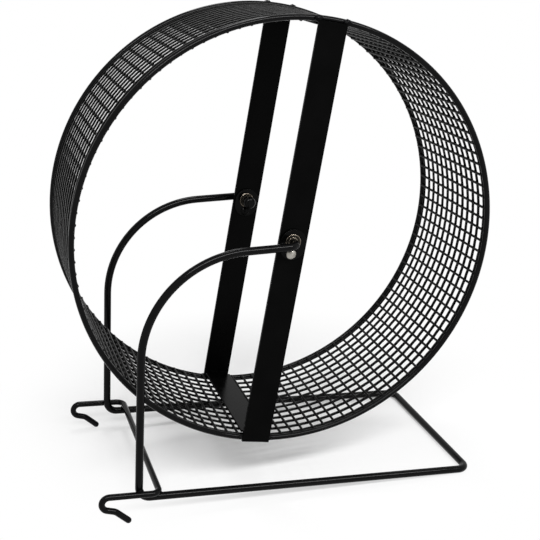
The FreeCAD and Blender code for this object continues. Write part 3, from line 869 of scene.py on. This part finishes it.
@dataclass
class Hub:
    """One bearing with its plate and rivet on the wheel, and what keeps it on the rod."""

    side: Side
    axle_height: float
    plate_edge: float = 1.0
    rivet_edge: float = 0.2
    outer_race_edge: float = 0.3
    inner_race_edge: float = 0.15
    spacer_edge: float = 0.15
    retainer_edge: float = 0.2
    shield_outer: float = 4.68
    shield_inner: float = 3.45
    shield_thickness: float = 0.25
    shield_face: float = 0.02
    lip_width: float = 0.35
    lip_depth: float = 0.12
    lip_slope: float = 0.1
    crimp_inset: float = 0.12
    crimp_width: float = 0.1
    crimp_depth: float = 0.08
    cap_radius: float = 4.7
    cap_length: float = 7.0
    cap_edge: float = 3.0
    cap_edge_steps: int = 8
    cap_sides: int = 40
    cap_bore: float = 2.52
    cap_mouth: float = 0.2
    groove_place: float = 0.7
    groove_half: float = 0.2
    groove_depth: float = 0.12

    def build(self) -> None:
        """Make the plate, rivet, bearing and axle fittings of this side."""
        steel = bearing_steel(self.axle_height)
        rivet = ZINC_PLATE if self.side is Side.FRONT else PLATE_ENAMEL
        self.copy("bearing_plate", Body.WHEEL, PLATE_ENAMEL, self.plate_edge)
        self.copy("keeper_rivet", Body.WHEEL, rivet, self.rivet_edge)
        self.copy("bearing_outer_race", Body.WHEEL, steel, self.outer_race_edge)
        self.copy("bearing_inner_race", Body.STAND, steel, self.inner_race_edge)
        self.copy("spacer", Body.STAND, ZINC_PLATE, self.spacer_edge)
        self.copy("retainer", Body.STAND, DULL_ZINC, self.retainer_edge)
        self.build_shields()
        self.build_cap()
        for name, finish in (("bearing_balls", steel), ("bearing_cage", ZINC_PLATE)):
            self.coat(f"{self.side.value}_{name}", finish)

    def copy(self, name: str, body: Body, finish: Finish, edge: float) -> None:
        """Dress a copy of one CAD node of this hub."""
        node = f"{self.side.value}_{name}"
        publish(cad_copy(f"{node}_finished", node, finish, edge), body, finish, node)

    def coat(self, node: str, finish: Finish) -> None:
        """Give a CAD node that stays its real finish."""
        for slot in FRAME_NODES[node].material_slots:
            slot.material = finish.material()

    def build_shields(self) -> None:
        """Make the pressed covers of the bearing, each with a lip inside and a crimp outside."""
        node = f"{self.side.value}_bearing_shields"
        low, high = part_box(node)
        outer, inner, back = self.shield_outer, self.shield_inner, self.shield_thickness
        lip = inner + self.lip_width
        crimp = outer - self.crimp_inset - self.crimp_width
        profile = [(outer, 0.0), (outer, back), (inner, back), (inner, self.lip_depth),
                   (lip, self.lip_depth), (lip + self.lip_slope, self.shield_face),
                   (crimp - self.crimp_depth, self.shield_face), (crimp, self.crimp_depth),
                   (crimp + self.crimp_width, self.crimp_depth)]
        front = lathe(f"{node}_pressed", profile, low[1], 1.0, self.axle_height, BLACKED_STEEL)
        rear = lathe(f"{node}_pressed_rear", profile, high[1], -1.0, self.axle_height, BLACKED_STEEL)
        work = bmesh.new()
        work.from_mesh(front.data)
        work.from_mesh(rear.data)
        work.to_mesh(front.data)
        work.free()
        bpy.data.objects.remove(rear)
        publish(front, Body.WHEEL, BLACKED_STEEL, node)

    def build_cap(self) -> None:
        """Make the dipped cap on the end of the rod, open to the rod's end."""
        node = f"{self.side.value}_axle_cap"
        low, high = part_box(node)
        start = low[1] if self.side is Side.FRONT else high[1]
        radius, length, edge = self.cap_radius, self.cap_length, self.cap_edge
        bore, bottom, mouth = self.cap_bore, length - CAP_WALL, self.cap_mouth
        groove, half = self.groove_place, self.groove_half
        profile = [(bore, 0.0), (bore, bottom), (0.0, bottom), (0.0, length)]
        for step in range(self.cap_edge_steps + 1):
            angle = math.pi / 2 * step / self.cap_edge_steps
            profile.append((radius - edge + edge * math.sin(angle), length - edge + edge * math.cos(angle)))
        profile += [(radius, groove + half), (radius - self.groove_depth, groove), (radius, groove - half),
                    (radius - mouth / 4, mouth * 3 / 4), (radius - mouth, 0.0)]
        cap = lathe(f"{node}_dipped", profile, start, self.side.inward, self.axle_height, DIPPED_VINYL,
                    self.cap_sides)
        publish(cap, Body.STAND, DIPPED_VINYL, node)


@dataclass
class Stand:
    """The bent rod that carries the wheel, and the wire with the two cage hooks."""

    axle_height: float
    rod: float = 5.5
    rod_sides: int = 20
    rod_bend_steps: int = 28
    journal: float = 5.0
    journal_root: float = 0.3
    journal_chamfer: float = 0.4
    shoulder_gap: float = 0.02
    axle_bend: float = 6.5
    arm_side: float = 69.7
    arm_slope: float = 4.5
    arm_bend: float = 73.5
    upright: float = 104.6
    upright_slant: float = 1.2
    foot_drop: float = 178.4
    foot_reach: float = 151.0
    foot_bend: float = 8.0
    hook_wire: float = 4.5
    hook_inset: float = 13.6
    hook_corner: float = 6.0
    hook_overhang: float = 21.3
    hook_bend: float = 5.0
    hook_turn: float = 166.0
    hook_return: float = 6.0
    knee_bend: float = 7.0
    knee_turn: float = 25.0
    hook_tail: float = 11.5
    hook_sides: int = 16
    hook_bend_steps: int = 22
    bead_length: float = 2.6
    foot_bead: float = 1.7
    upright_bead: float = 1.6
    gap: float = 0.05

    def __post_init__(self) -> None:
        """Work out the hook's places and the lean that brings hook tips and foot to the floor."""
        self.shoulder = -self.upright * math.tan(math.radians(self.arm_slope))
        slant = math.tan(math.radians(self.upright_slant))
        self.heel = -self.upright + (self.shoulder + self.foot_drop) * slant
        touch = (self.rod + self.hook_wire) / 2 + self.gap
        self.hook_height = -self.foot_drop + touch
        self.hook_side = self.arm_side + touch
        turn = math.radians(self.hook_turn)
        setback = self.hook_bend * math.tan(turn / 2)
        self.hook_far = self.heel - self.hook_overhang - setback
        slope = math.pi - turn
        run = setback + self.hook_return
        self.knee = (self.hook_far + math.cos(slope) * run, self.hook_height - math.sin(slope) * run)
        slope += math.radians(self.knee_turn)
        self.tip = (self.knee[0] + math.cos(slope) * self.hook_tail,
                    self.knee[1] - math.sin(slope) * self.hook_tail)
        across = self.foot_reach - self.tip[0]
        below = -self.foot_drop - self.tip[1]
        rise = (self.rod - self.hook_wire) / 2
        self.lean = math.atan2(below, across) - math.asin(rise / math.hypot(across, below))

    def stood(self, x: float, y: float, z: float) -> Vector:
        """Return a point of the stand's own frame in the part's frame, in metres."""
        leaning = Matrix.Rotation(self.lean, 3, "Y") @ Vector((x, y, z))
        return leaning * MM + Vector((0, 0, self.axle_height))

    def build(self) -> None:
        """Make the rod, the hook wire and the beads that join them."""
        self.build_rod()
        self.build_hooks()
        self.build_beads()

    def build_rod(self) -> None:
        """Make the rod from bearing to bearing, and the bright journal turned on each of its ends."""
        steel = bearing_steel(self.axle_height)
        front, rear = [self.build_journal(side, steel) for side in Side]
        half = [
            (0.0, self.arm_side, 0.0, self.axle_bend),
            (-self.upright, self.arm_side, self.shoulder, self.arm_bend),
            (self.heel, self.arm_side, -self.foot_drop, self.foot_bend),
            (self.foot_reach, self.arm_side, -self.foot_drop, self.foot_bend),
        ]
        corners = [(0.0, front, 0.0, 0.0)] + [(x, -y, z, bend) for x, y, z, bend in half]
        corners += half[::-1] + [(0.0, rear, 0.0, 0.0)]
        piece = self.bent("stand_rod_coated", corners, self.rod, self.rod_sides, self.rod_bend_steps, False)
        publish(piece, Body.STAND, COATED_WIRE, "stand_rod")

    def build_journal(self, side: Side, steel: Finish) -> float:
        """Make the bright end of the rod that one bearing runs on.

        Args:
            side: the side of the wheel.
            steel: the finish of the turned end.

        Returns:
            The place on the axle of the rod's shoulder, in millimetres.
        """
        race_low, race_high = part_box(f"{side.value}_bearing_inner_race")
        cap_low, cap_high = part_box(f"{side.value}_axle_cap")
        shoulder, tip = (race_low[1], cap_high[1]) if side is Side.FRONT else (race_high[1], cap_low[1])
        length = abs(shoulder - tip) / MM - CAP_WALL
        thick, root, chamfer = self.journal / 2, -self.journal_root, self.journal_chamfer
        profile = [(0.0, root), (thick, root), (thick, length - chamfer), (thick - chamfer, length),
                   (0.0, length)]
        journal = lathe(f"{side.value}_rod_journal", profile, shoulder, side.inward, self.axle_height, steel)
        publish(journal, Body.STAND, steel)
        return shoulder / MM - side.inward * self.shoulder_gap

    def build_hooks(self) -> None:
        """Make the hook wire from tip to tip, with rounded ends."""
        half = [
            (self.tip[0], self.hook_side, self.tip[1], 0.0),
            (self.knee[0], self.hook_side, self.knee[1], self.knee_bend),
            (self.hook_far, self.hook_side, self.hook_height, self.hook_bend),
            (self.heel + self.hook_inset, self.hook_side, self.hook_height, self.hook_corner),
        ]
        corners = [(x, -y, z, bend) for x, y, z, bend in half] + half[::-1]
        piece = self.bent("hook_wire_coated", corners, self.hook_wire, self.hook_sides,
                          self.hook_bend_steps, True)
        publish(piece, Body.STAND, COATED_WIRE, "hook_wire")

    def bent(self, name: str, corners: list[tuple[float, float, float, float]], thickness: float, sides: int,
             steps: int, round_ends: bool) -> bpy.types.Object:
        """Make a round wire along straight runs with bends between them.

        Args:
            name: name of the piece.
            corners: x, y, z and bend radius of each corner in the stand's frame, in millimetres.
            thickness: diameter of the wire in millimetres.
            sides: faces round the wire.
            steps: points along each bend.
            round_ends: whether the two ends are rounded.

        Returns:
            The piece.
        """
        base = bpy.data.meshes.new(name)
        base.from_pydata([self.stood(x, y, z) for x, y, z, _ in corners],
                         [(place, place + 1) for place in range(len(corners) - 1)], [])
        bends = base.attributes.new("bend", "FLOAT", "POINT")
        for place, corner in enumerate(corners):
            bends.data[place].value = corner[3] * MM
        rule = Rule(name + " path")
        runs = rule.add("GeometryNodeMeshToCurve", {"Mesh": rule.inlet.outputs["Geometry"]}).outputs["Curve"]
        bend = rule.add("GeometryNodeInputNamedAttribute", {"Name": "bend"},
                        data_type="FLOAT").outputs["Attribute"]
        path = rule.add("GeometryNodeFilletCurve", {"Curve": runs, "Radius": bend,
                                                    "Count": rule.number("Steps in a bend", steps)},
                        mode="POLY").outputs["Curve"]
        radius = rule.size("Wire radius", thickness / 2 * MM)
        wire = rule.tube(path, radius, rule.number("Sides", sides))
        if round_ends:
            ball = rule.add("GeometryNodeMeshUVSphere",
                            {"Segments": sides, "Rings": sides // 2, "Radius": radius}).outputs["Mesh"]
            tips = rule.add("GeometryNodeCurveEndpointSelection").outputs[0]
            ends = rule.add("GeometryNodeInstanceOnPoints",
                            {"Points": path, "Instance": ball, "Selection": tips}).outputs[0]
            wire = rule.joined(wire, ends)
        return rule.make(name, wire, COATED_WIRE, base)

    def build_beads(self) -> None:
        """Make the beads where the hook wire lies on the foot rods and passes the uprights."""
        drop = -self.foot_drop + self.foot_bend - self.hook_height
        setback = self.foot_bend * math.tan((math.pi / 2 - math.radians(self.upright_slant)) / 2)
        rod_x = self.heel + setback - math.sqrt(self.foot_bend ** 2 - drop ** 2)
        beads = []
        for way in (-1, 1):
            crossing = self.stood(self.heel + self.hook_inset, way * self.arm_side,
                                  -self.foot_drop + self.rod / 2)
            beads.append(Bead(crossing, Vector((1, 0, 0)), self.bead_length, self.foot_bead))
            beside = self.stood(rod_x, way * (self.arm_side + self.rod / 2), self.hook_height)
            beads.append(Bead(beside, Vector((0, 0, 1)), self.bead_length, self.upright_bead))
        publish(weld_beads("hook_weld_beads", beads), Body.STAND, COATED_WELD, "hook_welds")


@dataclass(frozen=True)
class Softbox:
    """A soft lamp: its place, the point that it faces and its face, in metres, and its watts."""

    name: str
    at: tuple[float, float, float]
    aim: tuple[float, float, float]
    face: tuple[float, float]
    power: float

    def build(self) -> None:
        """Add the lamp to the scene."""
        lamp = bpy.data.lights.new(self.name, "AREA")
        lamp.shape = "RECTANGLE"
        lamp.size, lamp.size_y = self.face
        lamp.energy = self.power
        made = bpy.data.objects.new(self.name, lamp)
        made.location = self.at
        made.rotation_euler = (Vector(self.aim) - Vector(self.at)).to_track_quat("-Z", "Y").to_euler()
        bpy.context.scene.collection.objects.link(made)


@dataclass
class Studio:
    """A white table, soft lamps and the camera. Places and reaches are metres."""

    lamps: tuple[Softbox, ...] = (
        Softbox("front softbox", (0.1, -0.95, 1.0), (0.0, 0.0, 0.1), (1.5, 0.2), 23.0),
        Softbox("overhead softbox", (0.0, 0.4, 1.25), (0.0, 0.0, 0.1), (0.3, 0.3), 4.0),
    )
    room_light: float = 0.25
    table_reach: float = 0.9
    table_tone: str = "#f4f4f4"
    shadow_middle: tuple[float, float, float] = (0.04, 0.085, 0.0)
    shadow_reach: tuple[float, float] = (0.07, 0.24)
    shadow_glow: float = 0.15
    lens: float = 70.645
    camera_at: tuple[float, float, float] = (-0.22273, -0.70699, 0.39523)
    turn_right: float = 17.693
    look_down: float = 18.335
    roll: float = 1.461

    def build(self) -> None:
        """Make the table, the lamps, the surroundings and the camera."""
        self.build_table()
        self.build_surroundings()
        for lamp in self.lamps:
            lamp.build()
        self.build_camera()
        bpy.context.scene.view_settings.view_transform = "Standard"

    def looked_at(self, tree: bpy.types.NodeTree) -> Socket:
        """Tell what is looked at from what gives light.

        Args:
            tree: the tree that asks.

        Returns:
            1 for what the camera sees, straight, in a gloss or through glass, and 0 for light.
        """
        paths = add_node(tree, "ShaderNodeLightPath").outputs
        direct = add_node(tree, "ShaderNodeMath", {0: paths["Is Camera Ray"], 1: paths["Is Glossy Ray"]},
                          operation="MAXIMUM")
        return add_node(tree, "ShaderNodeMath", {0: direct.outputs[0], 1: paths["Is Transmission Ray"]},
                        operation="MAXIMUM").outputs[0]

    def build_table(self) -> None:
        """Make the table: matt white, with the object's soft shadow, and plain white farther off."""
        work = bmesh.new()
        bmesh.ops.create_grid(work, x_segments=1, y_segments=1, size=self.table_reach)
        mesh = bpy.data.meshes.new("table")
        work.to_mesh(mesh)
        work.free()
        white = bpy.data.materials.new("white_paper")
        white.use_nodes = True
        tree = white.node_tree
        tree.nodes.remove(tree.nodes["Principled BSDF"])
        matt = add_node(tree, "ShaderNodeBsdfDiffuse", {"Color": linear(self.table_tone)})
        glow = add_node(tree, "ShaderNodeEmission", {"Color": linear("#ffffff"), "Strength": 1.0})
        place = add_node(tree, "ShaderNodeTexCoord").outputs["Object"]
        away = add_node(tree, "ShaderNodeVectorMath", {0: place, 1: self.shadow_middle},
                        operation="DISTANCE").outputs["Value"]
        near, far = self.shadow_reach
        fade = add_node(tree, "ShaderNodeMapRange",
                        {"Value": away, "From Min": near, "From Max": far,
                         "To Min": self.shadow_glow, "To Max": 1.0},
                        interpolation_type="SMOOTHSTEP").outputs["Result"]
        share = add_node(tree, "ShaderNodeMath", {0: fade, 1: self.looked_at(tree)},
                         operation="MULTIPLY").outputs[0]
        mixed = add_node(tree, "ShaderNodeMixShader", {0: share, 1: matt.outputs[0], 2: glow.outputs[0]})
        tree.links.new(mixed.outputs[0], tree.nodes["Material Output"].inputs["Surface"])
        mesh.materials.append(white)
        new_object("table", mesh)

    def build_surroundings(self) -> None:
        """Set the surroundings: white to look at and in a gloss, and dim as a source of light."""
        world = bpy.data.worlds.new("white_room")
        world.use_nodes = True
        tree = world.node_tree
        strength = add_node(tree, "ShaderNodeMath", {0: self.looked_at(tree), 1: self.room_light},
                            operation="MAXIMUM").outputs[0]
        tree.links.new(strength, tree.nodes["Background"].inputs["Strength"])
        tree.nodes["Background"].inputs["Color"].default_value = linear("#ffffff")
        bpy.context.scene.world = world

    def build_camera(self) -> None:
        """Set the camera where the photograph was taken from."""
        camera = bpy.data.cameras.new("camera")
        camera.sensor_fit = "HORIZONTAL"
        camera.sensor_width = 36.0
        camera.lens = self.lens
        made = bpy.data.objects.new("camera", camera)
        turn = (Matrix.Rotation(-math.radians(self.turn_right), 3, "Z")
                @ Matrix.Rotation(math.pi / 2 - math.radians(self.look_down), 3, "X")
                @ Matrix.Rotation(math.radians(self.roll), 3, "Z"))
        made.matrix_world = Matrix.Translation(self.camera_at) @ turn.to_4x4()
        bpy.context.scene.collection.objects.link(made)
        bpy.context.scene.camera = made


def main() -> None:
    """Load the frame, build every sub-assembly over it and set up the studio."""
    logging.basicConfig(level=logging.INFO, format="%(message)s")
    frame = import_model()
    FRAME_NODES.update(frame["nodes"])
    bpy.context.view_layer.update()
    low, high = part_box("front_rim")
    axle_height = (low[2] + high[2]) / 2
    tread = Tread(axle_height)
    tread.build()
    Spokes(axle_height, tread).build()
    for side in Side:
        Hub(side, axle_height).build()
    Stand(axle_height).build()
    Studio().build()
    LOG.info("sizes written")


if __name__ == "__main__":
    main()
